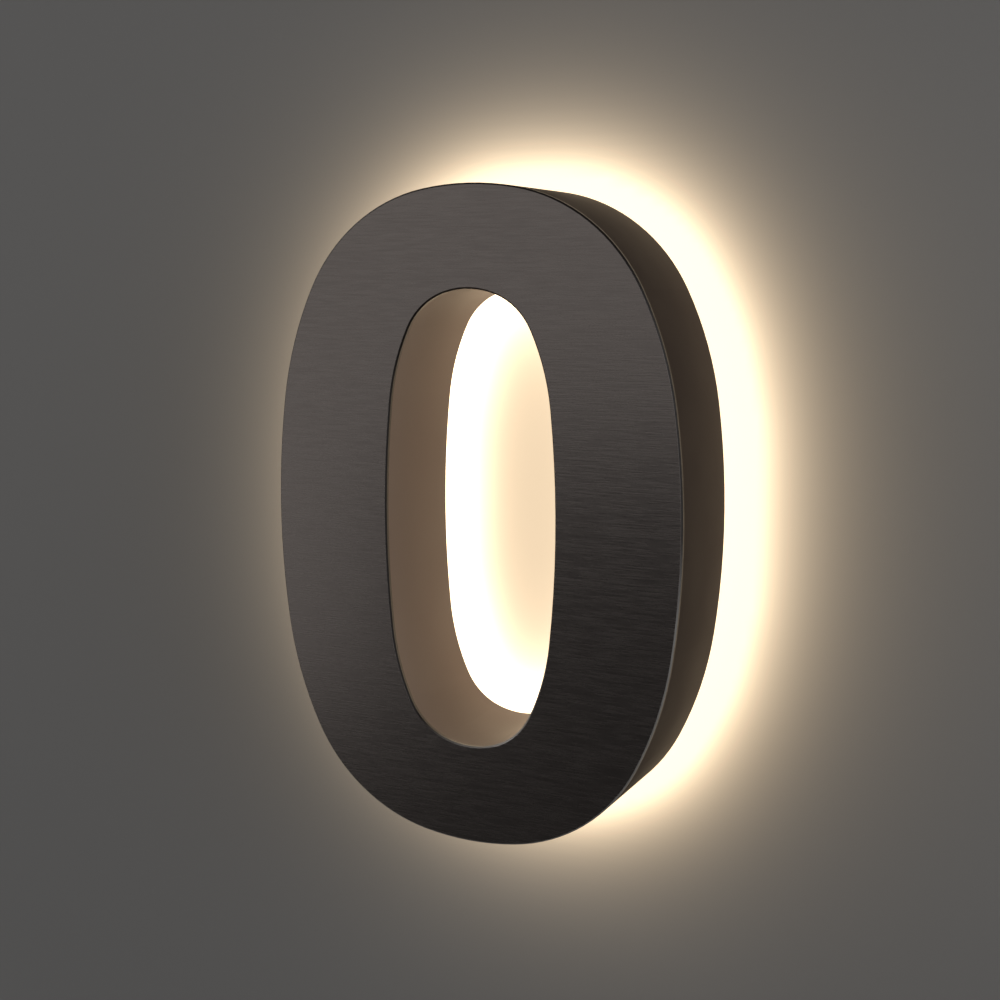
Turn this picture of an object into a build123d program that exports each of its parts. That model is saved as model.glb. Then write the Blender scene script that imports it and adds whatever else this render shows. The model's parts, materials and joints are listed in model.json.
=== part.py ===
from build123d import *

import os
from math import cos, pi, radians, sin, tan

# Illuminated house number "0": a halo-lit reverse channel figure on stand-off studs.
#
# Millimetres. The origin is the middle of the stud pattern on the wall's surface: the wall is the plane
# Y = 0, the figure faces -Y, +Z is up and +X is to the right as one reads it. Depths are given as
# distances out from the wall, so a sketch at distance d lies on Plane.XZ.offset(d) and an extrusion
# from it grows towards the reader.

# ---------------------------------------------------------------- the figure
figure_height = 200.0
figure_width = 135.0
stroke_at_sides = 39.1
stroke_at_ends = 30.5
case_depth = 39.0  # front of the face to the back edge of the returns

# Each quadrant of an outline is four tangent arcs. The turns are the angles, from the side of the
# figure towards its crown, where one arc takes over from the last. The fullness of the side and of the
# crown is the radius there, as a share of the radius that an ellipse has there.
outer_turns = (8.0, 26.5, 80.0)
outer_side_fullness = 1.72
outer_crown_fullness = 1.94
counter_turns = (6.0, 25.6, 70.0)
counter_side_fullness = 1.96
counter_crown_fullness = 2.20

# ---------------------------------------------------------------- sheet metal can
face_thickness = 1.5
face_edge_break = 0.5
return_thickness = 1.0

# ---------------------------------------------------------------- back panel and its fixing
wall_gap = 12.0  # wall to the back edge of the returns
panel_thickness = 4.0
panel_recess = 2.5
panel_clearance = 0.4  # all round the panel, filled with a bead of clear silicone that isn't drawn

clip_thickness = 1.5
clip_width = 14.0
clip_foot = 10.0
clip_leg = 10.0
clip_slot_length = 6.0
clip_screw_inset = 6.0  # inner side of the return to the screw

screw_diameter = 2.9
screw_length = 9.0
screw_head_across_flats = 5.5
screw_head_height = 2.1
screw_clearance = 0.25  # round the shank, in the panel
screw_bite = 0.05  # each side of the shank, in the clip's slot

# ---------------------------------------------------------------- studs, pillars and stand-offs
stud_diameter = 4.0
stud_root_diameter = 3.3  # the stud is drawn at the root of its thread wherever it is screwed in
stud_into_wall = 25.0
stud_into_pillar = 10.0
stud_clearance = 0.2  # round the stud's full diameter, in the panel and the spacer
thread_clearance = 0.05

pillar_across_flats = 7.0
pillar_inside_midline = 5.3
pillar_tap_spare = 2.0  # tapped hole beyond the stud's end

spacer_diameter = 12.0

# ---------------------------------------------------------------- cable inlet
inlet_bore = 5.0
inlet_from_counter = 10.0  # edge of the counter to the middle of the inlet
grommet_neck_diameter = 8.0
grommet_flange_diameter = 11.0
grommet_flange_thickness = 1.2

# ---------------------------------------------------------------- LED modules
module_count = 8
module_length = 32.0
module_width = 12.0
module_height = 5.2
module_corner = 1.5
module_floor = 1.4
pocket_length = 25.6
pocket_width = 7.6
tape_thickness = 1.0
tape_margin = 1.0

lens_thickness = 1.2
lens_seat = 0.8  # ledge that carries the lens, all round the pocket
lens_clearance = 0.15
window_length = 7.5
window_width = 6.5
window_height = 1.3
window_bevel = 1.1

board_thickness = 1.0
board_clearance = 0.3
chip_count = 2
chip_length = 3.5
chip_width = 2.8
chip_height = 0.7
chip_spacing = 16.0

# ---------------------------------------------------------------- leads and terminal block
lead_diameter = 1.5
lead_sides = 6
lead_spacing = 3.5  # red to black
lead_height = 2.6  # above the seat of the housing
lead_grip = 2.4  # length held in the housing's end wall
lead_clearance = 0.1
bend_share = 0.7  # of the shorter run, that a bend may take up

stub_length = 4.0
cap_wall = 0.5
cap_length = 4.0
cap_cover = 3.0  # length of stub inside the cap

terminal_length = 9.0
terminal_width = 9.0
terminal_height = 8.0
terminal_offset = 2.5  # from the middle of the bottom gap, towards the first module
terminal_port = 2.0
terminal_port_depth = 2.5
terminal_lever_length = 5.0
terminal_lever_width = 2.5
terminal_lever_height = 1.0

# ---------------------------------------------------------------- worked out from the sizes above
half_width = figure_width / 2
half_height = figure_height / 2
counter_half_width = half_width - stroke_at_sides
counter_half_height = half_height - stroke_at_ends

case_front = wall_gap + case_depth
face_back = case_front - face_thickness
panel_back = wall_gap + panel_recess
panel_front = panel_back + panel_thickness
panel_inset = return_thickness + panel_clearance
module_seat = face_back - tape_thickness
pocket_floor = module_seat - module_floor
lens_back = module_seat - module_height + lens_thickness
lead_level = module_seat - lead_height
lead_radius = lead_diameter / 2
stud_hole_radius = stud_diameter / 2 + stud_clearance
inlet_z = -(counter_half_height + inlet_from_counter)


# ================================================================ outlines
def quadrant_arcs(half_x, half_y, turns, side_fullness, crown_fullness):
    """Centres and radii of a quadrant's four tangent arcs, from its side to its crown.

    The first and last radius follow from the fullness. The two between are solved so that the
    quadrant, which starts on one axis, ends on the other.
    """
    angles = [radians(a) for a in (0, *turns, 90)]
    run = [cos(a) - cos(b) for a, b in zip(angles, angles[1:])]
    rise = [sin(b) - sin(a) for a, b in zip(angles, angles[1:])]
    side = side_fullness * half_y**2 / half_x
    crown = crown_fullness * half_x**2 / half_y
    run_left = half_x - side * run[0] - crown * run[3]
    rise_left = half_y - side * rise[0] - crown * rise[3]
    scale = run[1] * rise[2] - run[2] * rise[1]
    lower = (run_left * rise[2] - rise_left * run[2]) / scale
    upper = (rise_left * run[1] - run_left * rise[1]) / scale
    radii = (side, lower, upper, crown)
    centres = [(half_x - side, 0.0)]
    for angle, radius, following in zip(angles[1:], radii, radii[1:]):
        x, y = centres[-1]
        step = radius - following
        centres.append((x + step * cos(angle), y + step * sin(angle)))
    return centres, radii


def draw_loop(half_x, half_y, turns, side_fullness, crown_fullness, growth=0.0):
    """Draws a closed outline, grown by a distance, anticlockwise from its lowest point."""
    centres, radii = quadrant_arcs(half_x, half_y, turns, side_fullness, crown_fullness)
    starts = (0, *turns, 90)
    arcs = [(c, r + growth, a, b - a) for c, r, a, b in zip(centres, radii, starts, starts[1:])]
    for (x, y), radius, start, turn in reversed(arcs):
        CenterArc((x, -y), radius, -start - turn, turn)
    for (x, y), radius, start, turn in arcs:
        CenterArc((x, y), radius, start, turn)
    for (x, y), radius, start, turn in reversed(arcs):
        CenterArc((-x, y), radius, 180 - start - turn, turn)
    for (x, y), radius, start, turn in arcs:
        CenterArc((-x, -y), radius, 180 + start, turn)


def figure_form(inset):
    """The figure's outer outline, drawn in by an inset, as a filled sketch."""
    with BuildSketch() as form:
        with BuildLine():
            draw_loop(
                half_width,
                half_height,
                outer_turns,
                outer_side_fullness,
                outer_crown_fullness,
                -inset,
            )
        make_face()
    return form.sketch


def counter_form(inset):
    """The counter's outline, moved by an inset into the stroke, as a filled sketch."""
    with BuildSketch() as form:
        with BuildLine():
            draw_loop(
                counter_half_width,
                counter_half_height,
                counter_turns,
                counter_side_fullness,
                counter_crown_fullness,
                inset,
            )
        make_face()
    return form.sketch


# ================================================================ places on the stroke
with BuildLine() as midline:
    draw_loop(
        (half_width + counter_half_width) / 2,
        (half_height + counter_half_height) / 2,
        [(a + b) / 2 for a, b in zip(outer_turns, counter_turns)],
        (outer_side_fullness + counter_side_fullness) / 2,
        (outer_crown_fullness + counter_crown_fullness) / 2,
    )
midline_wire = midline.wires()[0]
midline_foot = midline_wire.param_at_point((0, -(half_height + counter_half_height) / 2))


def on_stroke(share, distance, outwards=0.0):
    """Plane at a share of the midline's length, anticlockwise from its foot, at a distance from the wall.

    Its X follows the stroke, its Y points out of the figure and its Z points to the wall.
    """
    place = (midline_foot + share) % 1
    point = midline_wire.position_at(place)
    along = midline_wire.tangent_at(place)
    origin = (point.X + outwards * along.Y, -distance, point.Y - outwards * along.X)
    return Plane(origin=origin, x_dir=(along.X, 0, along.Y), z_dir=(0, 1, 0))


module_shares = [(k + 0.5) / module_count for k in range(module_count)]

# The studs stand in the gaps at the shoulders, inside the leads, on a rectangle of whole millimetres.
shoulder = on_stroke(3 / 8, 0, -pillar_inside_midline).origin
stud_x = round(shoulder.X)
stud_z = round(shoulder.Z)
stud_spots = [(stud_x, stud_z), (-stud_x, stud_z), (-stud_x, -stud_z), (stud_x, -stud_z)]
print(f"stud pattern {2 * stud_x} x {2 * stud_z}, inlet at Z {inlet_z:.3f}")

# Clips and their screws, at the top and the bottom of the figure.
return_edge_z = half_height - return_thickness
clip_ends = {"top": 1, "bottom": -1}
screw_spots = [(0, up * (return_edge_z - clip_screw_inset)) for up in clip_ends.values()]


def write(piece, name):
    """Labels a finished piece and writes it."""
    piece.part.label = name
    export_step(piece.part, f"parts/{name}.step")


os.makedirs("parts", exist_ok=True)

# ================================================================ sheet metal can
with BuildPart() as face_plate:
    with BuildSketch(Plane.XZ.offset(face_back)):
        add(figure_form(0))
        add(counter_form(0), mode=Mode.SUBTRACT)
    extrude(amount=face_thickness)
    chamfer(face_plate.faces().sort_by(Axis.Y)[0].edges(), face_edge_break)
write(face_plate, "face_plate")

with BuildPart() as outer_return:
    with BuildSketch(Plane.XZ.offset(wall_gap)):
        add(figure_form(0))
        add(figure_form(return_thickness), mode=Mode.SUBTRACT)
    extrude(amount=face_back - wall_gap)
write(outer_return, "outer_return")

with BuildPart() as inner_return:
    with BuildSketch(Plane.XZ.offset(wall_gap)):
        add(counter_form(return_thickness))
        add(counter_form(0), mode=Mode.SUBTRACT)
    extrude(amount=face_back - wall_gap)
write(inner_return, "inner_return")

# ================================================================ back panel and its clips
with BuildPart() as back_panel:
    with BuildSketch(Plane.XZ.offset(panel_back)):
        add(figure_form(panel_inset))
        add(counter_form(panel_inset), mode=Mode.SUBTRACT)
        with Locations(*stud_spots):
            Circle(stud_hole_radius, mode=Mode.SUBTRACT)
        with Locations(*screw_spots):
            Circle(screw_diameter / 2 + screw_clearance, mode=Mode.SUBTRACT)
        with Locations((0, inlet_z)):
            Circle(grommet_neck_diameter / 2, mode=Mode.SUBTRACT)
    extrude(amount=panel_thickness)
write(back_panel, "back_panel")

for (end, up), screw_spot in zip(clip_ends.items(), screw_spots):
    # A welded angle: its leg follows the return, its foot backs the panel and its slot takes the screw.
    with BuildPart() as panel_clip:
        with BuildSketch(Plane.XZ.offset(panel_front)):
            add(figure_form(return_thickness))
            with Locations((0, up * return_edge_z)):
                Rectangle(clip_width, 2 * clip_foot, mode=Mode.INTERSECT)
            with Locations(screw_spot):
                Rectangle(screw_diameter + 2 * screw_bite, clip_slot_length, mode=Mode.SUBTRACT)
        extrude(amount=clip_thickness)
        with BuildSketch(Plane.XZ.offset(panel_front)):
            add(figure_form(return_thickness))
            add(figure_form(return_thickness + clip_thickness), mode=Mode.SUBTRACT)
            with Locations((0, up * return_edge_z)):
                Rectangle(clip_width, 2 * clip_foot, mode=Mode.INTERSECT)
        extrude(amount=clip_leg)
    write(panel_clip, f"panel_clip_{end}")

with BuildPart() as panel_screws:
    with BuildSketch(Plane.XZ.offset(panel_back)):
        with Locations(*screw_spots):
            RegularPolygon(screw_head_across_flats / 2, 6, major_radius=False)
    extrude(amount=-screw_head_height)
    with BuildSketch(Plane.XZ.offset(panel_back)):
        with Locations(*screw_spots):
            Circle(screw_diameter / 2)
    extrude(amount=screw_length)
write(panel_screws, "panel_screws")

# ================================================================ studs, pillars and stand-offs
tapped_radius = stud_root_diameter / 2 + thread_clearance

with BuildPart() as wall_studs:
    with BuildSketch(Plane.XZ):
        with Locations(*stud_spots):
            Circle(stud_diameter / 2)
    extrude(amount=-stud_into_wall)
    with BuildSketch(Plane.XZ):
        with Locations(*stud_spots):
            Circle(stud_root_diameter / 2)
    extrude(amount=panel_front + stud_into_pillar)
write(wall_studs, "wall_studs")

with BuildPart() as standoff_spacers:
    with BuildSketch(Plane.XZ):
        with Locations(*stud_spots):
            Circle(spacer_diameter / 2)
            Circle(stud_hole_radius, mode=Mode.SUBTRACT)
    extrude(amount=panel_back)
write(standoff_spacers, "standoff_spacers")

for number, spot in enumerate(stud_spots, 1):
    with BuildPart() as stud_pillar:
        with BuildSketch(Plane.XZ.offset(panel_front)):
            with Locations(spot):
                RegularPolygon(pillar_across_flats / 2, 6, major_radius=False)
        extrude(amount=face_back - panel_front)
        with BuildSketch(Plane.XZ.offset(panel_front)):
            with Locations(spot):
                Circle(tapped_radius)
        extrude(amount=stud_into_pillar + pillar_tap_spare, mode=Mode.SUBTRACT)
    write(stud_pillar, f"stud_pillar_{number}")

# ================================================================ cable inlet
with BuildPart() as cable_grommet:
    for start, thickness, diameter in (
        (panel_back - grommet_flange_thickness, grommet_flange_thickness, grommet_flange_diameter),
        (panel_back, panel_thickness, grommet_neck_diameter),
        (panel_front, grommet_flange_thickness, grommet_flange_diameter),
    ):
        with BuildSketch(Plane.XZ.offset(start)):
            with Locations((0, inlet_z)):
                Circle(diameter / 2)
        extrude(amount=thickness)
    with BuildSketch(Plane.XZ.offset(panel_back - grommet_flange_thickness)):
        with Locations((0, inlet_z)):
            Circle(inlet_bore / 2)
    extrude(amount=panel_thickness + 2 * grommet_flange_thickness, mode=Mode.SUBTRACT)
write(cable_grommet, "cable_grommet")

# ================================================================ LED modules
for number, share in enumerate(module_shares, 1):
    with BuildPart() as led_housing:
        with BuildSketch(on_stroke(share, module_seat)):
            outline = Rectangle(module_length, module_width)
            chamfer(outline.vertices(), module_corner)
        extrude(amount=module_height)
        with BuildSketch(on_stroke(share, pocket_floor)):
            Rectangle(pocket_length, pocket_width)
        extrude(amount=module_height - module_floor, mode=Mode.SUBTRACT)
        with BuildSketch(on_stroke(share, lens_back)):
            Rectangle(pocket_length + 2 * lens_seat, pocket_width + 2 * lens_seat)
        extrude(amount=lens_thickness, mode=Mode.SUBTRACT)
        # Notches in the end walls, open to the wall side, for the leads.
        with BuildSketch(on_stroke(share, lead_level + lead_radius + lead_clearance)):
            with GridLocations(0, lead_spacing, 1, 2):
                Rectangle(module_length, lead_diameter + 2 * lead_clearance)
        extrude(amount=module_height, mode=Mode.SUBTRACT)
    write(led_housing, f"led_housing_{number}")

    with BuildPart() as led_board:
        with BuildSketch(on_stroke(share, pocket_floor)):
            Rectangle(pocket_length - 2 * board_clearance, pocket_width - 2 * board_clearance)
        extrude(amount=board_thickness)
    write(led_board, f"led_board_{number}")

    with BuildPart() as led_lens:
        with BuildSketch(on_stroke(share, lens_back)):
            Rectangle(
                pocket_length + 2 * (lens_seat - lens_clearance),
                pocket_width + 2 * (lens_seat - lens_clearance),
            )
        extrude(amount=lens_thickness)
        with BuildSketch(on_stroke(share, lens_back - lens_thickness)):
            with GridLocations(chip_spacing, 0, chip_count, 1):
                Rectangle(window_length, window_width)
        extrude(amount=window_height)
        chamfer(led_lens.faces().sort_by(Axis.Y)[-chip_count:].edges(), window_bevel)
    write(led_lens, f"led_lens_{number}")

with BuildPart() as module_tape_pads:
    for share in module_shares:
        with BuildSketch(on_stroke(share, face_back)):
            Rectangle(module_length - 2 * tape_margin, module_width - 2 * tape_margin)
        extrude(amount=tape_thickness)
write(module_tape_pads, "module_tape_pads")

with BuildPart() as led_chips:
    for share in module_shares:
        with BuildSketch(on_stroke(share, pocket_floor - board_thickness)):
            with GridLocations(chip_spacing, 0, chip_count, 1):
                Rectangle(chip_length, chip_width)
        extrude(amount=chip_height)
write(led_chips, "led_chips")

# ================================================================ terminal block
# It lies where the first module's leads reach it in one gentle bend.
first_module = on_stroke(module_shares[0], lead_level)
first_mouth = first_module.origin - first_module.x_dir * module_length / 2
terminal_mouth = terminal_offset + terminal_length / 2
to_meeting = (first_mouth.X - terminal_mouth) / 2
terminal_z = first_mouth.Z - to_meeting * first_module.x_dir.Z / first_module.x_dir.X


def at_terminal(distance):
    """Plane over the middle of the terminal block, laid as the planes on the stroke are."""
    return Plane(origin=(terminal_offset, -distance, terminal_z), x_dir=(1, 0, 0), z_dir=(0, 1, 0))


with BuildPart() as terminal_block_body:
    with BuildSketch(at_terminal(face_back)):
        Rectangle(terminal_length, terminal_width)
    extrude(amount=terminal_height)
    with Locations(at_terminal(lead_level)):
        with GridLocations(terminal_length - terminal_port_depth, lead_spacing, 2, 2):
            Box(terminal_port_depth, terminal_port, terminal_port, mode=Mode.SUBTRACT)
write(terminal_block_body, "terminal_block_body")

with BuildPart() as terminal_block_levers:
    with BuildSketch(at_terminal(face_back - terminal_height)):
        with GridLocations(0, lead_spacing, 1, 2):
            Rectangle(terminal_lever_length, terminal_lever_width)
    extrude(amount=terminal_lever_height)
write(terminal_block_levers, "terminal_block_levers")


# ================================================================ leads
def lead_end(plane, along, aside):
    """The plane moved along its X and its Y."""
    return Plane(
        origin=plane.origin + plane.x_dir * along + plane.y_dir * aside,
        x_dir=plane.x_dir,
        z_dir=plane.z_dir,
    )


def draw_lead(start, end):
    """A lead that leaves one plane's origin along its X and comes to the other's, in one bend."""
    forward, back = start.x_dir, end.x_dir
    apart = end.origin - start.origin
    run = (apart.X * back.Z - apart.Z * back.X) / (forward.X * back.Z - forward.Z * back.X)
    corner = start.origin + forward * run
    run_back = (end.origin - corner).length
    turn = radians(forward.get_angle(back))
    radius = bend_share * min(run, run_back) / tan(turn / 2)
    with BuildLine() as path:
        FilletPolyline(start.origin, corner, end.origin, radius=radius)
    route = path.wires()[0]
    with BuildSketch(Plane(origin=start.origin, x_dir=start.y_dir, z_dir=forward)) as section:
        RegularPolygon(lead_radius, lead_sides)
    print(f"lead {route.length:.1f} long, bend radius {radius:.1f}")
    return sweep(section.sketch, path=route, mode=Mode.PRIVATE), route.length


half_held = module_length / 2 - lead_grip
terminal_held = terminal_length / 2 - terminal_port_depth + lead_clearance
last_module = on_stroke(module_shares[-1], lead_level)

for colour, aside in (("red", lead_spacing / 2), ("black", -lead_spacing / 2)):
    links = [
        draw_lead(
            lead_end(at_terminal(lead_level), terminal_held, aside),
            lead_end(first_module, -half_held, aside),
        )
    ]
    for share, following in zip(module_shares, module_shares[1:]):
        links.append(
            draw_lead(
                lead_end(on_stroke(share, lead_level), half_held, aside),
                lead_end(on_stroke(following, lead_level), -half_held, aside),
            )
        )
    length = sum(link_length for _, link_length in links)
    with BuildPart() as module_leads:
        for link, _ in links:
            add(link)
        stub = lead_end(last_module, half_held, aside)
        with BuildSketch(Plane(origin=stub.origin, x_dir=stub.y_dir, z_dir=stub.x_dir)):
            RegularPolygon(lead_radius, lead_sides)
        extrude(amount=lead_grip + stub_length)
        length += lead_grip + stub_length
    section = lead_sides / 2 * lead_radius**2 * sin(2 * pi / lead_sides)
    print(f"{colour} leads {module_leads.part.volume:.2f} mm3, section x length {section * length:.2f} mm3")
    write(module_leads, f"module_leads_{colour}")

with BuildPart() as lead_end_caps:
    for aside in (lead_spacing / 2, -lead_spacing / 2):
        mouth = lead_end(last_module, module_length / 2 + stub_length - cap_cover, aside)
        across = Plane(origin=mouth.origin, x_dir=mouth.y_dir, z_dir=mouth.x_dir)
        with BuildSketch(across):
            RegularPolygon(lead_radius + cap_wall, lead_sides)
        extrude(amount=cap_length)
        with BuildSketch(across):
            RegularPolygon(lead_radius, lead_sides)
        extrude(amount=cap_cover, mode=Mode.SUBTRACT)
write(lead_end_caps, "lead_end_caps")
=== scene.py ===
import json
from math import cos, pi, radians, sin

import bmesh
import bpy
import numpy as np
from mathutils import Matrix, Vector


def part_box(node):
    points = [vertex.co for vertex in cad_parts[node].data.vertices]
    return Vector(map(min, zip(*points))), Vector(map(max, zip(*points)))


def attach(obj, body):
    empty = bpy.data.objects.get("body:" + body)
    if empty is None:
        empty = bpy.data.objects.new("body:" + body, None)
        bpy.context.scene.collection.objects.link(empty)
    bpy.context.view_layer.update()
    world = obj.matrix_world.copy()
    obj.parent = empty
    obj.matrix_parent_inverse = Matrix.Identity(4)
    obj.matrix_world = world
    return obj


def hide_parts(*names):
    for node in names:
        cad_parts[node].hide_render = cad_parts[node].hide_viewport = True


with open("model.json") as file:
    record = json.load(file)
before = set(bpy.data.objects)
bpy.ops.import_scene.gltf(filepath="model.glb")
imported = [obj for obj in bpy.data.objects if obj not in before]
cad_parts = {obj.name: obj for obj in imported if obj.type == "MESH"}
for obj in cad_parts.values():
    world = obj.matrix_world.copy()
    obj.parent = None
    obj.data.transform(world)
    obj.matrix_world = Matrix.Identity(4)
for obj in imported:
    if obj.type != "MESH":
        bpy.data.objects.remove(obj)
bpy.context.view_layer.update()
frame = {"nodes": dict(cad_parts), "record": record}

MM = 0.001
ROOT = "root"
MODULES = range(1, 9)
PILLARS = range(1, 5)
SQUARE = ((-1, -1), (1, -1), (1, 1), (-1, 1))  # corners in turn
nodes = frame["nodes"]
scene = bpy.context.scene
scene.view_settings.view_transform = "Standard"


def direction(azimuth, elevation):
    """A unit vector towards an azimuth and an elevation in radians. 0, 0 is straight in front."""
    return Vector((sin(azimuth) * cos(elevation), -cos(azimuth) * cos(elevation), sin(elevation)))


# ---------------------------------------------------------------- camera at the photograph's angle
AZIMUTH = radians(25.965)
ELEVATION = radians(8.56)
DISTANCE = 0.439135
PAN_RIGHT = 0.009605
PAN_UP = 0.006857
FACE_MIDDLE = Vector((0.0, -0.051, 0.0))
LENS = 52.71
SENSOR = 36.0
CLIP_START = 0.01

back = direction(AZIMUTH, ELEVATION)
right = Vector((cos(AZIMUTH), sin(AZIMUTH), 0.0))
up = back.cross(right)
camera_data = bpy.data.cameras.new("camera")
camera_data.lens = LENS
camera_data.sensor_width = SENSOR
camera_data.clip_start = CLIP_START
camera = bpy.data.objects.new("camera", camera_data)
scene.collection.objects.link(camera)
camera_place = FACE_MIDDLE + back * DISTANCE + right * PAN_RIGHT + up * PAN_UP
camera.matrix_world = Matrix.Translation(camera_place) @ Matrix((right, up, back)).transposed().to_4x4()
scene.camera = camera

# ---------------------------------------------------------------- materials
VECTOR_MATH = "ShaderNodeVectorMath"
GRAIN_DETAIL = 2.0


def set_inputs(made, **inputs):
    """Sets values on a node's named inputs. A space in a name is written as _."""
    for key, value in inputs.items():
        made.inputs[key.replace("_", " ")].default_value = value


def new_material(name, **inputs):
    """A material and its shader, with values set on the shader's inputs."""
    material = bpy.data.materials.new(name)
    material.use_nodes = True
    shader = material.node_tree.nodes["Principled BSDF"]
    set_inputs(shader, **inputs)
    return material, shader


def node(material, kind, **inputs):
    """A new node, with values set on its inputs."""
    made = material.node_tree.nodes.new(kind)
    set_inputs(made, **inputs)
    return made


def feed(material, value, target):
    """Links another node's output to an input, or sets a value on the input."""
    if isinstance(value, bpy.types.NodeSocket):
        material.node_tree.links.new(value, target)
    else:
        target.default_value = value


def worked(material, operation, *values, kind="ShaderNodeMath", output="Value"):
    """What a Math or Vector Math node makes of outputs and values."""
    made = node(material, kind)
    made.operation = operation
    for target, value in zip(made.inputs, values):
        feed(material, value, target)
    return made.outputs[output]


def object_place(material):
    """The place of each point in the object's own metres."""
    return node(material, "ShaderNodeTexCoord").outputs["Object"]


def object_noise(material, scale, stretch=(1, 1, 1), detail=3.0, roughness=0.5):
    """Noise with as many cells per metre as scale times stretch."""
    mapping = node(material, "ShaderNodeMapping", Scale=stretch)
    feed(material, object_place(material), mapping.inputs["Vector"])
    noise = node(material, "ShaderNodeTexNoise", Scale=scale, Detail=detail, Roughness=roughness)
    feed(material, mapping.outputs["Vector"], noise.inputs["Vector"])
    return noise.outputs["Fac"]


def colour_between(material, factor, low, high):
    """The low colour where the factor is 0, and the high one where it is 1."""
    mix = node(material, "ShaderNodeMix")
    mix.data_type = "RGBA"
    for name, value in (("Factor", factor), ("A", low), ("B", high)):
        feed(material, value, mix.inputs[name])
    return mix.outputs["Result"]


def ramp(material, source, low, high, start=0.3, end=0.7):
    """Numbers or colours from low to high as the source goes from start to end."""
    made = node(material, "ShaderNodeMapRange", From_Min=start, From_Max=end)
    feed(material, source, made.inputs["Value"])
    if isinstance(low, (int, float)):
        set_inputs(made, To_Min=low, To_Max=high)
        return made.outputs["Result"]
    return colour_between(material, made.outputs["Result"], (*low, 1), (*high, 1))


def add_bump(material, shader, source, strength, distance):
    bump = node(material, "ShaderNodeBump", Strength=strength, Distance=distance)
    feed(material, source, bump.inputs["Height"])
    feed(material, bump.outputs["Normal"], shader.inputs["Normal"])


def surface(name, low, high, rough, scale=250, bump=0.1, bump_depth=0.00005, grain=1500, **inputs):
    """A finish whose colour and roughness vary slowly over it, with a fine grain in its bump."""
    material, shader = new_material(name, **inputs)
    slow = object_noise(material, scale)
    feed(material, ramp(material, slow, low, high), shader.inputs["Base Color"])
    feed(material, ramp(material, slow, *rough), shader.inputs["Roughness"])
    add_bump(material, shader, object_noise(material, grain, detail=GRAIN_DETAIL), bump, bump_depth)
    return material


SHORT_LINES = {"stretch": (95, 95, 2500), "detail": 2.0, "roughness": 0.65}
LONG_LINES = {"stretch": (14, 14, 420), "detail": 2.0, "roughness": 0.5}
SHORT_SHARE = 0.86
LONG_SHARE = 0.14
BRUSH_RANGE = (0.38, 0.60)  # of the noise, from a dark line to a light one
BRUSH_DARK = (0.1205, 0.1047, 0.097)
BRUSH_LIGHT = (0.1465, 0.1279, 0.1186)
BRUSH_ROUGH = (0.228, 0.282)
BRUSH_BUMP = 0.55
BRUSH_DEPTH = 0.00003
FACE_SPECULAR = 0.25
EDGE_FRONT = -0.05097  # just behind the flat of the face, where its broken edge starts
EDGE_FRONT_FADE = 0.04 * MM
EDGE_BACK = -0.0505  # where the broken edge ends
EDGE_BACK_FADE = 0.05 * MM
COAT = (0.022, 0.0175, 0.016)
COAT_ROUGHER = 0.12
# the colour of the painted highlight on the broken edge
EDGE_HIGHLIGHT_COLOUR = (0.33, 0.315, 0.30)
HIGHLIGHT_WAY = (0.6, 0.0, -0.8)  # down to the right, the way in which the painted highlight grows
HIGHLIGHT_RANGE = (0.040, 0.060)  # metres along that way, from no painted highlight to full painted highlight


def brushed_bronze():
    """Dark bronze with horizontal brush lines, some long and faint, most short and fine, and a painted
    highlight low on the right of its coated edge.
    """
    material, shader = new_material("brushed_bronze", Specular_IOR_Level=FACE_SPECULAR)
    lines = object_noise(material, 1.0, **SHORT_LINES)
    bands = worked(material, "MULTIPLY", object_noise(material, 1.0, **LONG_LINES), LONG_SHARE)
    both = worked(material, "MULTIPLY_ADD", lines, SHORT_SHARE, bands)
    brushed = ramp(material, both, BRUSH_DARK, BRUSH_LIGHT, *BRUSH_RANGE)
    add_bump(material, shader, lines, BRUSH_BUMP, BRUSH_DEPTH)
    # The broken edge and the cut edge of the sheet aren't brushed: they are coated.
    place = object_place(material)
    split = node(material, "ShaderNodeSeparateXYZ")
    feed(material, place, split.inputs["Vector"])
    depth = split.outputs["Y"]
    edge = ramp(material, depth, 0.0, 1.0, EDGE_FRONT, EDGE_FRONT + EDGE_FRONT_FADE)
    # Low on the right the broken edge gets a painted highlight: a lighter colour that grows down to the
    # right.
    low_right = worked(material, "DOT_PRODUCT", place, HIGHLIGHT_WAY, kind=VECTOR_MATH)
    on_broken_edge = ramp(material, depth, 1.0, 0.0, EDGE_BACK, EDGE_BACK + EDGE_BACK_FADE)
    painted_highlight = worked(material, "MULTIPLY", ramp(material, low_right, 0.0, 1.0, *HIGHLIGHT_RANGE), on_broken_edge)
    coat_and_painted_highlight = ramp(material, painted_highlight, COAT, EDGE_HIGHLIGHT_COLOUR, 0.0, 1.0)
    feed(material, colour_between(material, edge, brushed, coat_and_painted_highlight), shader.inputs["Base Color"])
    feed(material, ramp(material, edge, 1.0, 0.0, 0.0, 1.0), shader.inputs["Metallic"])
    rough = ramp(material, both, *BRUSH_ROUGH, *BRUSH_RANGE)
    feed(material, worked(material, "MULTIPLY_ADD", edge, COAT_ROUGHER, rough), shader.inputs["Roughness"])
    return material


WARM = (1.0, 0.77, 0.51)
CHIP_REACH = 6 * MM
PANEL_LEVEL = 0.016  # distance from the wall, inside the panel, at which the glow is worked out
OPAL_SCALE = 80
OPAL_DARK = (0.62, 0.60, 0.565)
OPAL_LIGHT = (0.65, 0.63, 0.595)
OPAL_ROUGH = (0.30, 0.36)
GLOW_NEAR = 0.24
GLOW_FAR = 0.03
GLOW_RANGE = (0.003, 0.020)  # metres from an LED, from the strongest glow to the weakest
GLOW_MERGE = 0.006


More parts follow.
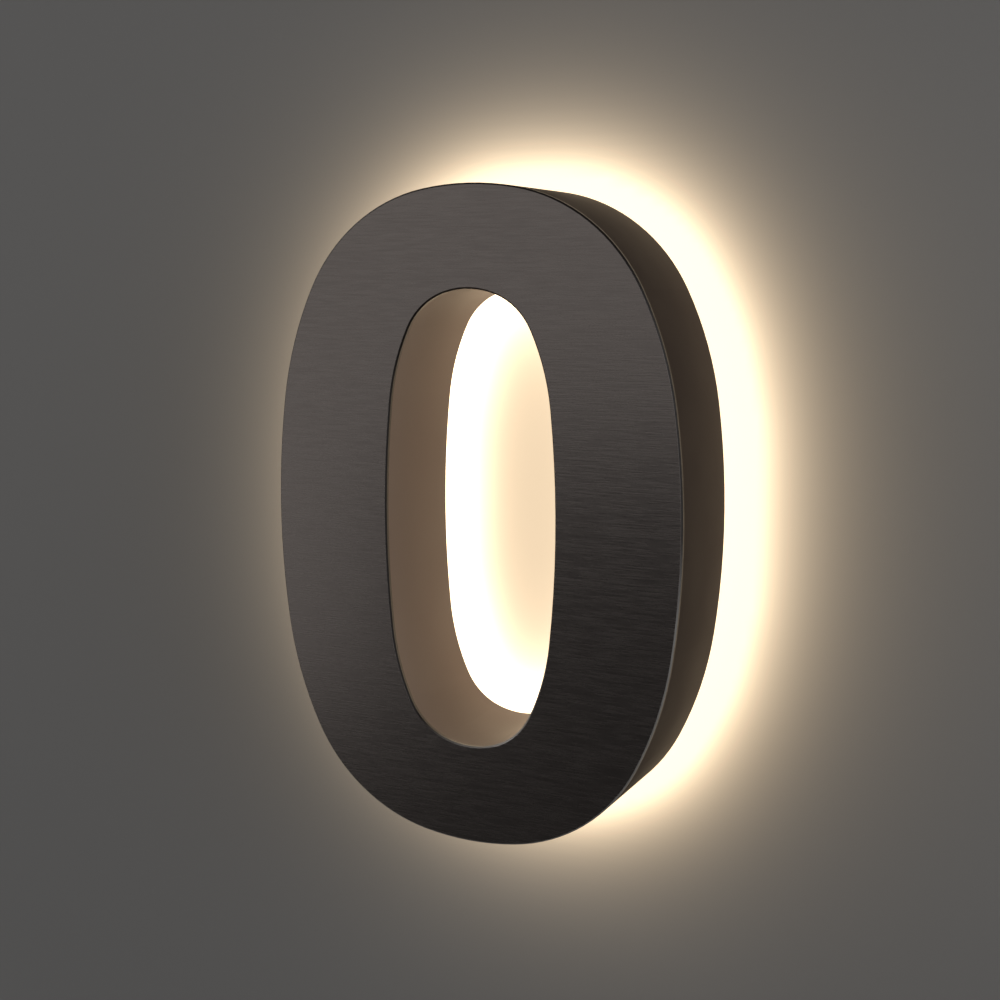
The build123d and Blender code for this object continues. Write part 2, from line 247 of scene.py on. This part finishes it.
def gathered(points, reach):
    """Points in groups, each point within reach of the first one of its group."""
    groups = []
    for point in points:
        near = [group for group in groups if (group[0] - point).length < reach]
        if near:
            near[0].append(point)
        else:
            groups.append([point])
    return groups


chips = gathered([vertex.co.copy() for vertex in nodes["led_chips"].data.vertices], CHIP_REACH)


def lit_opal():
    """Opal acrylic that glows, brighter over each LED. One quadrant is folded out to all four."""
    material, shader = new_material("opal_acrylic", Emission_Color=(*WARM, 1))
    slow = object_noise(material, OPAL_SCALE)
    feed(material, ramp(material, slow, OPAL_DARK, OPAL_LIGHT), shader.inputs["Base Color"])
    feed(material, ramp(material, slow, *OPAL_ROUGH), shader.inputs["Roughness"])
    folded = worked(material, "ABSOLUTE", object_place(material), kind=VECTOR_MATH, output="Vector")
    nearest = None
    for middle in (sum(chip, Vector()) / len(chip) for chip in chips):
        if middle.x < 0 or middle.z < 0:
            continue
        spot = (middle.x, PANEL_LEVEL, middle.z)
        away = worked(material, "DISTANCE", folded, spot, kind=VECTOR_MATH)
        nearest = away if nearest is None else worked(material, "SMOOTH_MIN", nearest, away, GLOW_MERGE)
    glow = ramp(material, nearest, GLOW_NEAR, GLOW_FAR, *GLOW_RANGE)
    glow.node.interpolation_type = "SMOOTHSTEP"
    feed(material, glow, shader.inputs["Emission Strength"])
    return material


# A surface's two colours and two numbers are the ends between which its colour and roughness vary.
materials = {
    "bronze_face": brushed_bronze(),
    # The returns are one bronze in two copies: the counter's return is painted lighter, as lit, and the
    # outer return (shaded_band_bronze) darker, as painted shade.
    "bronze_return": surface(
        "lit_copy_of_return_bronze", (0.132, 0.101, 0.0925), (0.140, 0.107, 0.0985), (0.55, 0.62), scale=60,
        bump=0.05, grain=2500, Specular_IOR_Level=0.3,
    ),
    "shaded_band_bronze": surface(
        "shaded_copy_of_return_bronze", (0.031, 0.0205, 0.0175), (0.035, 0.0235, 0.020), (0.60, 0.66), scale=60,
        bump=0.05, grain=2500, Specular_IOR_Level=0.1,
    ),
    "stainless": surface(
        "stainless", (0.56, 0.55, 0.53), (0.62, 0.61, 0.59), (0.26, 0.31), scale=150,
        bump=0.03, bump_depth=0.00002, Metallic=1.0,
    ),
    "opal_acrylic": lit_opal(),
    "spacer_nylon": surface(
        "spacer_nylon", (0.026, 0.026, 0.028), (0.032, 0.032, 0.034), (0.46, 0.52), scale=1200,
        bump=0.06,
    ),
    "grommet_rubber": surface("grommet_rubber", (0.018, 0.018, 0.018), (0.03, 0.03, 0.03), (0.6, 0.72)),
    "module_shell": surface("module_shell", (0.74, 0.74, 0.72), (0.80, 0.80, 0.78), (0.38, 0.46)),
    "module_lens": surface(
        "module_lens", (0.88, 0.90, 0.92), (0.92, 0.94, 0.95), (0.06, 0.12),
        Transmission_Weight=0.9, IOR=1.58,
    ),
    "circuit_board": surface("circuit_board", (0.78, 0.78, 0.74), (0.85, 0.85, 0.81), (0.3, 0.4)),
    "led_phosphor": surface(
        "led_phosphor", (0.92, 0.72, 0.2), (0.96, 0.80, 0.32), (0.3, 0.4),
        Emission_Color=(*WARM, 1), Emission_Strength=4.0,
    ),
    "foam_tape": surface("foam_tape", (0.24, 0.24, 0.24), (0.34, 0.34, 0.34), (0.8, 0.95), bump=0.5),
    "lead_red": surface("lead_red", (0.50, 0.022, 0.015), (0.60, 0.03, 0.02), (0.32, 0.42)),
    "lead_black": surface("lead_black", (0.012, 0.012, 0.012), (0.022, 0.022, 0.022), (0.32, 0.42)),
    "end_cap": surface("end_cap", (0.70, 0.69, 0.65), (0.78, 0.77, 0.73), (0.4, 0.5)),
    "terminal_body": surface("terminal_body", (0.38, 0.39, 0.40), (0.45, 0.46, 0.47), (0.28, 0.36)),
    "terminal_lever": surface("terminal_lever", (0.76, 0.76, 0.74), (0.82, 0.82, 0.80), (0.26, 0.34)),
}
slot_of = {s["node"]: s["material_slot"] for s in frame["record"]["subparts"]}
# The outer return takes the painted-shade copy of the returns' bronze; every other node takes its slot's
# material.
for name, obj in nodes.items():
    for material_slot in obj.material_slots:
        material_slot.material = materials["shaded_band_bronze" if name == "outer_return" else slot_of[name]]


# ---------------------------------------------------------------- tools for the detailed small parts
SHARP_ANGLE = 38
FINE_SHARP_ANGLE = 50
THREAD_STEP = 0.0875 * MM  # between the rows of a thread
THREAD_POWER = 0.8  # under 1, the crest of a thread is broader than its root
TAPER_CUT = 1.3  # the end of a thread is narrower by so many depths of the thread


def ring_faces(mesh, low, high):
    """A band of faces between two rings with the same number of points."""
    for k in range(len(low)):
        following = (k + 1) % len(low)
        mesh.faces.new((low[k], low[following], high[following], high[k]))


def revolve(mesh, x, z, profile, segments, closed=False):
    """Turns (radius, y) points round an axis along Y. A radius may be a function of the angle."""
    angles = [2 * pi * k / segments for k in range(segments)]
    rings = []
    for radius, y in profile:
        reach = [radius(a) if callable(radius) else radius for a in angles]
        rings.append([mesh.verts.new((x + r * cos(a), y, z + r * sin(a))) for r, a in zip(reach, angles)])
    pairs = list(zip(rings, rings[1:]))
    if closed:
        pairs.append((rings[-1], rings[0]))
    else:
        mesh.faces.new(rings[0])
        mesh.faces.new(rings[-1])
    for low, high in pairs:
        ring_faces(mesh, low, high)


def detailed(name, mesh, slot, replaced, sharp=SHARP_ANGLE):
    """Makes a finished piece that stands for a CAD node. Edges sharper than an angle stay crisp."""
    bmesh.ops.recalc_face_normals(mesh, faces=mesh.faces)
    data = bpy.data.meshes.new(name)
    mesh.to_mesh(data)
    mesh.free()
    data.shade_smooth()
    data.set_sharp_from_angle(angle=radians(sharp))
    data.materials.append(materials[slot])
    piece = bpy.data.objects.new(name, data)
    scene.collection.objects.link(piece)
    piece.modifiers.new("flat_faces_stay_flat", "WEIGHTED_NORMAL").keep_sharp = True
    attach(piece, ROOT)
    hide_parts(replaced)


def thread_rows(start, end, pitch, root, crest, taper):
    """Rows of a threaded rod from one y to another, which narrows towards its end."""
    rows = []
    count = round(abs(end - start) / THREAD_STEP)
    for k in range(count + 1):
        y = start + (end - start) * k / count
        limit = crest - max(0.0, taper - abs(end - y)) / taper * (crest - root) * TAPER_CUT

        def radius(angle, y=y, limit=limit):
            rise = 0.5 + 0.5 * cos(2 * pi * y / pitch - angle)
            return min(root + (crest - root) * rise**THREAD_POWER, limit)

        rows.append((radius, y))
    return rows


def rounded(corners, radius, steps=4):
    """A closed (radius, y) profile with each corner rounded."""
    points = []
    for before, corner, after in zip(corners[-1:] + corners[:-1], corners, corners[1:] + corners[:1]):
        corner = Vector(corner)
        leave, reach = (Vector(before) - corner).normalized(), (Vector(after) - corner).normalized()
        for k in range(steps + 1):
            share = k / steps
            points.append(corner + leave * radius * (1 - share) ** 2 + reach * radius * share**2)
    return [(p.x, p.y) for p in points]


# ---------------------------------------------------------------- studs, spacers, grommet and screws
STUD = 2.0 * MM
STUD_ROOT = 1.65 * MM
STUD_SHANK = 1.84 * MM
STUD_CREST = 1.97 * MM
STUD_PITCH = 0.7 * MM
STUD_TAPER = 0.6 * MM
STUD_SEGMENTS = 20
SHANK_END = -1.5 * MM  # the stud is plain from the panel to here, and threaded in the wall
THREAD_START = -1.4 * MM
SPACER = 6 * MM
SPACER_BORE = 2.2 * MM
SPACER_ROUNDING = 0.55 * MM
SPACER_SEGMENTS = 56
GROMMET_BORE = 2.5 * MM
GROMMET_NECK = 4 * MM
GROMMET_FLANGE = 5.5 * MM
GROMMET_ROUNDING = 0.5 * MM
SCREW_SEGMENTS = GROMMET_SEGMENTS = 48
CAD_SCREW_HEAD = 2.75 * MM  # radius
HEAD_FLAT = 2.5 * MM  # from the axis to a flat of the hexagon
HEAD_CORNER = 3.0 * MM
HEAD_DISH = [(0.9, 0.35), (1.5, 0.1), (1.9, 0.0)]  # radius, and depth below the top, in mm
HEAD_CHAMFER = [(2.4, 0.0), (2.6, 0.15), (3.0, 0.45)]
WASHER = 3.1 * MM
WASHER_THICKNESS = 0.6 * MM
WASHER_EDGE = 0.15 * MM
SCREW_SHANK = 1.45 * MM
SCREW_CREST = 1.43 * MM
SCREW_ROOT = 1.1 * MM
SCREW_PITCH = 1.1 * MM
SCREW_TAPER = 0.4 * MM
SCREW_THREAD_START = 0.1 * MM  # in front of the panel's back face
SCREW_TIP = 1.4 * MM  # from the end of the thread to the end of the screw
SCREW_POINT = (0.15 * MM, 0.05 * MM)  # radius, and distance from the screw's end

stud_low, stud_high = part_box("wall_studs")
stud_x, stud_z = stud_high[0] - STUD, stud_high[2] - STUD
stud_spots = [(x, z) for x in (-stud_x, stud_x) for z in (-stud_z, stud_z)]
panel_low, panel_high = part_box("back_panel")
panel_front, panel_back = panel_low[1], panel_high[1]

mesh = bmesh.new()
for x, z in stud_spots:
    profile = [
        (STUD_ROOT, stud_low[1]), (STUD_ROOT, panel_front),
        (STUD_SHANK, panel_front), (STUD_SHANK, SHANK_END),
        *thread_rows(THREAD_START, stud_high[1], STUD_PITCH, STUD_ROOT, STUD_CREST, STUD_TAPER),
    ]
    revolve(mesh, x, z, profile, STUD_SEGMENTS)
detailed("threaded_studs", mesh, "stainless", "wall_studs", sharp=FINE_SHARP_ANGLE)

spacer_low, spacer_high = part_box("standoff_spacers")
sleeve = [
    (SPACER_BORE, spacer_high[1]), (SPACER, spacer_high[1]),
    (SPACER, spacer_low[1]), (SPACER_BORE, spacer_low[1]),
]
mesh = bmesh.new()
for x, z in stud_spots:
    revolve(mesh, x, z, rounded(sleeve, SPACER_ROUNDING), SPACER_SEGMENTS, closed=True)
detailed("nylon_spacers", mesh, "spacer_nylon", "standoff_spacers")

grommet_low, grommet_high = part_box("cable_grommet")
grommet_z = (grommet_low[2] + grommet_high[2]) / 2
bush = [
    (GROMMET_BORE, grommet_high[1]), (GROMMET_FLANGE, grommet_high[1]), (GROMMET_FLANGE, panel_back),
    (GROMMET_NECK, panel_back), (GROMMET_NECK, panel_front), (GROMMET_FLANGE, panel_front),
    (GROMMET_FLANGE, grommet_low[1]), (GROMMET_BORE, grommet_low[1]),
]
mesh = bmesh.new()
revolve(mesh, 0, grommet_z, rounded(bush, GROMMET_ROUNDING), GROMMET_SEGMENTS, closed=True)
detailed("rubber_grommet", mesh, "grommet_rubber", "cable_grommet")


def hexagon(limit):
    """The radius of the hexagon head at an angle, cut off at a limit by the cone of its chamfer."""
    return lambda angle: min(HEAD_FLAT / cos(angle % (pi / 3) - pi / 6), limit)


screw_low, screw_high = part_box("panel_screws")
screw_z = (screw_high[2] - screw_low[2]) / 2 - CAD_SCREW_HEAD
head_top = screw_high[1]
washer_top = panel_back + WASHER_THICKNESS
mesh = bmesh.new()
for z in (-screw_z, screw_z):
    profile = [
        *((radius * MM, head_top - depth * MM) for radius, depth in HEAD_DISH),
        *((hexagon(radius * MM), head_top - depth * MM) for radius, depth in HEAD_CHAMFER),
        (hexagon(HEAD_CORNER), washer_top), (WASHER, washer_top - WASHER_EDGE), (WASHER, panel_back),
        (SCREW_SHANK, panel_back),
        *thread_rows(
            panel_back - SCREW_THREAD_START, screw_low[1] + SCREW_TIP,
            SCREW_PITCH, SCREW_ROOT, SCREW_CREST, SCREW_TAPER,
        ),
        (SCREW_POINT[0], screw_low[1] + SCREW_POINT[1]),
    ]
    revolve(mesh, 0, z, profile, SCREW_SEGMENTS)
detailed("hex_washer_screws", mesh, "stainless", "panel_screws")

# ---------------------------------------------------------------- moulded and folded parts with soft edges
SAME_POINT = 0.001 * MM
SAME_PLANE = radians(1)
SOFTENED_FROM = radians(30)
SOFT_SEGMENTS = 2
HOUSING_EDGE = 0.25 * MM
LENS_EDGE = 0.12 * MM
PILLAR_EDGE = 0.3 * MM
CLIP_EDGE = 0.2 * MM
BLOCK_EDGE = 0.3 * MM
LEVER_EDGE = 0.2 * MM


def softened(name, node_name, width):
    """Makes a piece from a CAD node's mesh, with its facets joined and its edges rounded."""
    mesh = bmesh.new()
    mesh.from_mesh(nodes[node_name].data)
    bmesh.ops.remove_doubles(mesh, verts=mesh.verts, dist=SAME_POINT)
    bmesh.ops.dissolve_limit(mesh, angle_limit=SAME_PLANE, verts=mesh.verts, edges=mesh.edges)
    sharp = [e for e in mesh.edges if e.is_manifold and e.calc_face_angle() > SOFTENED_FROM]
    bmesh.ops.bevel(
        mesh, geom=sharp, offset=width, offset_type="OFFSET", segments=SOFT_SEGMENTS, profile=0.5,
        affect="EDGES", clamp_overlap=True,
    )
    bmesh.ops.remove_doubles(mesh, verts=mesh.verts, dist=SAME_POINT)
    bmesh.ops.triangulate(mesh, faces=[f for f in mesh.faces if len(f.verts) > 4])
    bmesh.ops.dissolve_degenerate(mesh, dist=SAME_POINT, edges=mesh.edges)
    detailed(name, mesh, slot_of[node_name], node_name, sharp=FINE_SHARP_ANGLE)


for number in MODULES:
    softened(f"moulded_housing_{number}", f"led_housing_{number}", HOUSING_EDGE)
    softened(f"moulded_lens_{number}", f"led_lens_{number}", LENS_EDGE)
for number in PILLARS:
    softened(f"hex_pillar_{number}", f"stud_pillar_{number}", PILLAR_EDGE)
for end in ("top", "bottom"):
    softened(f"folded_clip_{end}", f"panel_clip_{end}", CLIP_EDGE)
softened("moulded_terminal_body", "terminal_block_body", BLOCK_EDGE)
softened("moulded_levers", "terminal_block_levers", LEVER_EDGE)

# ---------------------------------------------------------------- leads
LEAD_RADIUS = 0.75 * MM
LEAD_ASIDE = 1.75 * MM
LEAD_SIDES = 16
LEAD_STEPS = 28
HALF_HELD = 13.6 * MM  # from a module's middle to where its leads start, just inside its end
HALF_MODULE = 16.0 * MM
STUB = 4.0 * MM
IN_BLOCK = 2.4 * MM  # the leads start this far inside the terminal block
CAP_COVER = 3.0  # millimetres of lead inside an end cap
CAP_PROFILE = [  # distance from the cap's mouth, and radius, in mm
    (3.02, 0.78), (0.1, 0.78), (0.0, 0.9), (0.0, 1.13), (0.12, 1.25), (3.3, 1.25), (3.65, 1.15),
    (3.9, 0.85), (4.0, 0.4),
]
RIGHTWARD = Vector((1, 0, 0))
lead_low, lead_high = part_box("module_leads_red")
lead_level = (lead_low[1] + lead_high[1]) / 2


def across(along):
    """The way across another one, in the plane of the wall."""
    return Vector((along.z, 0, -along.x))


def module_place(number):
    """Middle of a module, and the way along it, anticlockwise as one reads the figure."""
    points = np.array([v.co for v in nodes[f"led_lens_{number}"].data.vertices])
    middle = (points.max(axis=0) + points.min(axis=0)) / 2
    spread = np.cov((points - points.mean(axis=0))[:, [0, 2]].T)
    along = np.linalg.eigh(spread)[1][:, -1]
    along = Vector((along[0], 0, along[1]))
    middle = Vector((middle[0], lead_level, middle[2]))
    return middle, along if along.x * -middle.z + along.z * middle.x > 0 else -along


def tube(mesh, rings):
    """Joins circles, given by middle, way along and radius, into a closed skin."""
    turns = [2 * pi * k / LEAD_SIDES for k in range(LEAD_SIDES)]
    skin = []
    for middle, along, radius in rings:
        aside = across(along)
        ways = [aside * cos(t) + Vector((0, sin(t), 0)) for t in turns]
        skin.append([mesh.verts.new(middle + way * radius) for way in ways])
    mesh.faces.new(skin[0])
    mesh.faces.new(skin[-1])
    for low, high in zip(skin, skin[1:]):
        ring_faces(mesh, low, high)


def bent_lead(mesh, start, forward, end, back):
    """A lead that leaves start along forward and comes to end along back, on one smooth curve."""
    apart = end - start
    run = (apart.x * back.z - apart.z * back.x) / (forward.x * back.z - forward.z * back.x)
    corner = start + forward * run
    rings = []
    for k in range(LEAD_STEPS + 1):
        t = k / LEAD_STEPS
        middle = start * (1 - t) ** 2 + corner * 2 * t * (1 - t) + end * t**2
        along = ((corner - start) * (1 - t) + (end - corner) * t).normalized()
        rings.append((middle, along, LEAD_RADIUS))
    tube(mesh, rings)


module_places = [module_place(number) for number in MODULES]
block_low, block_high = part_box("terminal_block_body")
block = Vector(((block_low[0] + block_high[0]) / 2, lead_level, (block_low[2] + block_high[2]) / 2))
block_mouth = block + RIGHTWARD * ((block_high[0] - block_low[0]) / 2 - IN_BLOCK)
caps = bmesh.new()
for colour, side in (("red", 1), ("black", -1)):
    mesh = bmesh.new()
    start, forward = block_mouth + across(RIGHTWARD) * LEAD_ASIDE * side, RIGHTWARD
    for middle, along in module_places:
        held = middle + across(along) * LEAD_ASIDE * side
        bent_lead(mesh, start, forward, held - along * HALF_HELD, along)
        start, forward = held + along * HALF_HELD, along
    stub_end = start + forward * (HALF_MODULE - HALF_HELD + STUB)
    tube(mesh, [(start, forward, LEAD_RADIUS), (stub_end, forward, LEAD_RADIUS)])
    detailed(f"round_leads_{colour}", mesh, f"lead_{colour}", f"module_leads_{colour}")
    cap_mouth = stub_end - forward * CAP_COVER * MM
    cap = [(cap_mouth + forward * distance * MM, forward, radius * MM) for distance, radius in CAP_PROFILE]
    tube(caps, cap)
detailed("round_end_caps", caps, "end_cap", "lead_end_caps")

# ---------------------------------------------------------------- LED packages
PACKAGE_FOOT = (1.75, 1.4)  # half length and half width, in mm
PACKAGE_SHOULDER = (1.72, 1.37)
PACKAGE_TOP = (1.6, 1.25)
SHOULDER_DROP = 0.1 * MM
DOME = [(1.1, -0.2), (1.1, 0.02), (0.9, 0.1), (0.5, 0.16)]  # radius, and height over the package, in mm
DOME_SEGMENTS = 24

packages, domes = bmesh.new(), bmesh.new()
for points in map(np.array, chips):
    middle = Vector((points.max(axis=0) + points.min(axis=0)) / 2)
    along = min(module_places, key=lambda place: (place[0] - middle).xz.length)[1]
    foot, top = points[:, 1].min(), points[:, 1].max()
    rings = []
    for y, (half_long, half_wide) in (
        (foot, PACKAGE_FOOT), (top - SHOULDER_DROP, PACKAGE_SHOULDER), (top, PACKAGE_TOP),
    ):
        centre = Vector((middle.x, y, middle.z))
        rings.append([
            packages.verts.new(centre + along * a * half_long * MM + across(along) * b * half_wide * MM)
            for a, b in SQUARE
        ])
    packages.faces.new(rings[0])
    packages.faces.new(rings[-1])
    for low, high in zip(rings, rings[1:]):
        ring_faces(packages, low, high)
    dome = [(radius * MM, top + height * MM) for radius, height in DOME]
    revolve(domes, middle.x, middle.z, dome, DOME_SEGMENTS)
detailed("led_packages", packages, "module_shell", "led_chips")
detailed("led_domes", domes, "led_phosphor", "led_chips")

# ---------------------------------------------------------------- wall, floor and room
STAGE_REACH = 2.5
ROOM_REACH = STAGE_REACH * 1.01
FLOOR_LEVEL = -0.30
WALL_CELLS = 320
EVEN_SHARE = 0.07  # the wall's cells are small near the figure, and grow away from it
GROWING_SHARE = 0.93
GROWTH = 5
WALL_COLOUR = (0.33, 0.324, 0.318)
WALL_ROUGH = 0.9
FLOOR_COLOUR = (0.5, 0.493, 0.48)
FLOOR_ROUGH = 0.85
FLOOR_LIGHT = 0.19
ROOM_COLOUR = (1.0, 0.985, 0.965)
ROOM_LIGHT = 0.22
FAR_START = 0.3
FAR_END = 0.9

# The halo. An outline is half its width, half its height and the power of its roundness.
GAP = 0.0145  # the lit panel's distance from the wall
PANEL_OUTLINE = (0.0661, 0.0986, 2.44)
PANEL_COUNTER = (0.0298, 0.0709, 2.64)
PANEL_HALF_WIDTH = 0.068
PANEL_HALF_HEIGHT = 0.1
GLOW_CELL = 0.004
HALO_STRENGTH = 7.5
HALO_LIMIT = 1.6
BRIGHT_COUNTER = (0.048, 0.085, 2.54)
COUNTER_LIMIT = 3.2
COUNTER_LEAST = 0.78
COUNTER_POWER = 4  # how sharply the halo in the counter gives way to its least value
SHADE = 0.84  # the wall right behind the figure is darker by this share
SHADE_OUTLINE = (0.0605, 0.093, 2.44)
SHADE_OUTLINE_FADE = 0.25
SHADE_COUNTER = (0.0355, 0.0765, 2.64)
SHADE_COUNTER_FADE = 0.35


def stage_mesh(name, corners, faces, material):
    mesh = bpy.data.meshes.new(name)
    mesh.from_pydata(corners, [], faces)
    mesh.materials.append(material)
    obj = bpy.data.objects.new(name, mesh)
    scene.collection.objects.link(obj)
    return obj


def roundness(x, z, half_x, half_z, power):
    """Below 1 inside an outline that is close to the figure's, above 1 outside it."""
    return (np.abs(x) / half_x) ** power + (np.abs(z) / half_z) ** power


def halo(x, z):
    """Light that the evenly lit panel sends to points on the wall, as shares of the panel's own."""
    cells_x, cells_z = np.meshgrid(
        np.arange(-PANEL_HALF_WIDTH, PANEL_HALF_WIDTH, GLOW_CELL),
        np.arange(-PANEL_HALF_HEIGHT, PANEL_HALF_HEIGHT, GLOW_CELL),
    )
    lit = roundness(cells_x, cells_z, *PANEL_OUTLINE) < 1
    lit &= roundness(cells_x, cells_z, *PANEL_COUNTER) > 1
    total = np.zeros(len(x))
    for from_x, from_z in zip(cells_x[lit], cells_z[lit]):
        total += (GAP / ((x - from_x) ** 2 + (z - from_z) ** 2 + GAP**2)) ** 2
    return total * GLOW_CELL**2 / np.pi


steps = np.linspace(-1, 1, WALL_CELLS + 1)
steps = STAGE_REACH * (EVEN_SHARE * steps + GROWING_SHARE * steps**GROWTH)
wall_x, wall_z = (a.ravel() for a in np.meshgrid(steps, np.maximum(steps, FLOOR_LEVEL)))
row = WALL_CELLS + 1
wall_paint, wall_shader = new_material(
    "wall_paint", Roughness=WALL_ROUGH, Specular_IOR_Level=0.0, Emission_Strength=1.0
)
wall = stage_mesh(
    "wall",
    [(x, 0, z) for x, z in zip(wall_x.tolist(), wall_z.tolist())],
    [
        (a, a + 1, a + 1 + row, a + row)
        for a in (i * row + j for i in range(WALL_CELLS) for j in range(WALL_CELLS))
        if wall_z[a + row] > FLOOR_LEVEL
    ],
    wall_paint,
)
# The halo is worked out here, and not left to the panel, because behind the figure it would burn out.
in_counter = roundness(wall_x, wall_z, *BRIGHT_COUNTER) < 1
glow = np.minimum(HALO_STRENGTH * halo(wall_x, wall_z), np.where(in_counter, COUNTER_LIMIT, HALO_LIMIT))
glow[in_counter] = (glow[in_counter] ** COUNTER_POWER + COUNTER_LEAST**COUNTER_POWER) ** (1 / COUNTER_POWER)
inside_outer = np.clip((1 - roundness(wall_x, wall_z, *SHADE_OUTLINE)) / SHADE_OUTLINE_FADE, 0, 1)
outside_counter = np.clip((roundness(wall_x, wall_z, *SHADE_COUNTER) - 1) / SHADE_COUNTER_FADE, 0, 1)
glow *= 1 - SHADE * inside_outer * outside_counter
# Far from the figure the wall turns into the plain backdrop, and takes no more light from the softboxes.
near = np.clip((FAR_END - np.hypot(wall_x, wall_z)) / (FAR_END - FAR_START), 0, 1)
near = near * near * (3 - 2 * near)  # eased at both ends
light = np.outer(near * glow, WARM) + np.outer(1 - near, np.array(ROOM_COLOUR) * ROOM_LIGHT)
light = np.column_stack([light, near]).astype(np.float32)
wall.data.attributes.new("light", "FLOAT_COLOR", "POINT").data.foreach_set("color", light.ravel())
light_map = node(wall_paint, "ShaderNodeAttribute")
light_map.attribute_name = "light"
feed(wall_paint, light_map.outputs["Color"], wall_shader.inputs["Emission Color"])
painted = ramp(wall_paint, light_map.outputs["Alpha"], (0, 0, 0), WALL_COLOUR, 0.0, 1.0)
feed(wall_paint, painted, wall_shader.inputs["Base Color"])
# The wall shows from its front only, so that the back of the object can be looked at.
seen = node(wall_paint, "ShaderNodeMixShader")
feed(wall_paint, node(wall_paint, "ShaderNodeNewGeometry").outputs["Backfacing"], seen.inputs["Fac"])
feed(wall_paint, wall_shader.outputs["BSDF"], seen.inputs[1])
feed(wall_paint, node(wall_paint, "ShaderNodeBsdfTransparent").outputs["BSDF"], seen.inputs[2])
feed(wall_paint, seen.outputs["Shader"], wall_paint.node_tree.nodes["Material Output"].inputs["Surface"])

floor_paint = new_material(
    "floor_paint", Base_Color=(*FLOOR_COLOUR, 1), Roughness=FLOOR_ROUGH,
    Emission_Color=(*ROOM_COLOUR, 1), Emission_Strength=FLOOR_LIGHT,
)[0]
floor_corners = [(x * STAGE_REACH, y * STAGE_REACH, FLOOR_LEVEL) for x, y in SQUARE]
floor = stage_mesh("floor", floor_corners, [(0, 1, 2, 3)], floor_paint)
floor.visible_glossy = floor.visible_diffuse = False

# A pale room round it all, seen by the camera only.
room_paint = new_material(
    "room_paint", Base_Color=(0, 0, 0, 1), Emission_Color=(*ROOM_COLOUR, 1), Emission_Strength=ROOM_LIGHT
)[0]
ends = (-ROOM_REACH, ROOM_REACH)
room = stage_mesh(
    "room",
    [(x, y, z) for x in ends for y in ends for z in ends],
    [(0, 1, 3, 2), (4, 5, 7, 6), (0, 1, 5, 4), (2, 3, 7, 6), (0, 2, 6, 4), (1, 3, 7, 5)],
    room_paint,
)
room.visible_diffuse = room.visible_glossy = room.visible_transmission = room.visible_shadow = False

# ---------------------------------------------------------------- light
WORLD_COLOUR = (0.015, 0.015, 0.016)
# Name, azimuth and elevation in degrees, distance, width and height in metres, and power in watts.
SOFTBOXES = [
    ("key", -31, 13, 1.5, 1.9, 1.0, 4.4),
    ("low_key", -46, -12, 1.5, 0.8, 0.36, 0.68),
    ("bounce", -24, -24, 1.5, 2.2, 0.9, 0.44),
    ("fill", 55, 25, 1.6, 1.0, 1.0, 0.6),
    ("wall_right", 65, 5, 0.6, 0.3, 0.5, 0.52),
    ("side_right", 98, 25, 1.4, 0.9, 0.9, 9.0),
    ("side_left", -98, 25, 1.4, 0.9, 0.9, 14.0),
    ("rear", 200, 30, 1.5, 1.2, 1.2, 3.4),
]
for name, azimuth, elevation, distance, width, height, power in SOFTBOXES:
    lamp = bpy.data.lights.new(name, "AREA")
    lamp.shape = "RECTANGLE"
    lamp.size = width
    lamp.size_y = height
    lamp.energy = power
    softbox = bpy.data.objects.new(name, lamp)
    softbox.visible_camera = False
    scene.collection.objects.link(softbox)
    softbox.location = direction(radians(azimuth), radians(elevation)) * distance
    softbox.rotation_euler = softbox.location.to_track_quat("Z", "Y").to_euler()

world = bpy.data.worlds.new("studio")
scene.world = world
world.use_nodes = True
world.node_tree.nodes["Background"].inputs["Color"].default_value = (*WORLD_COLOUR, 1)
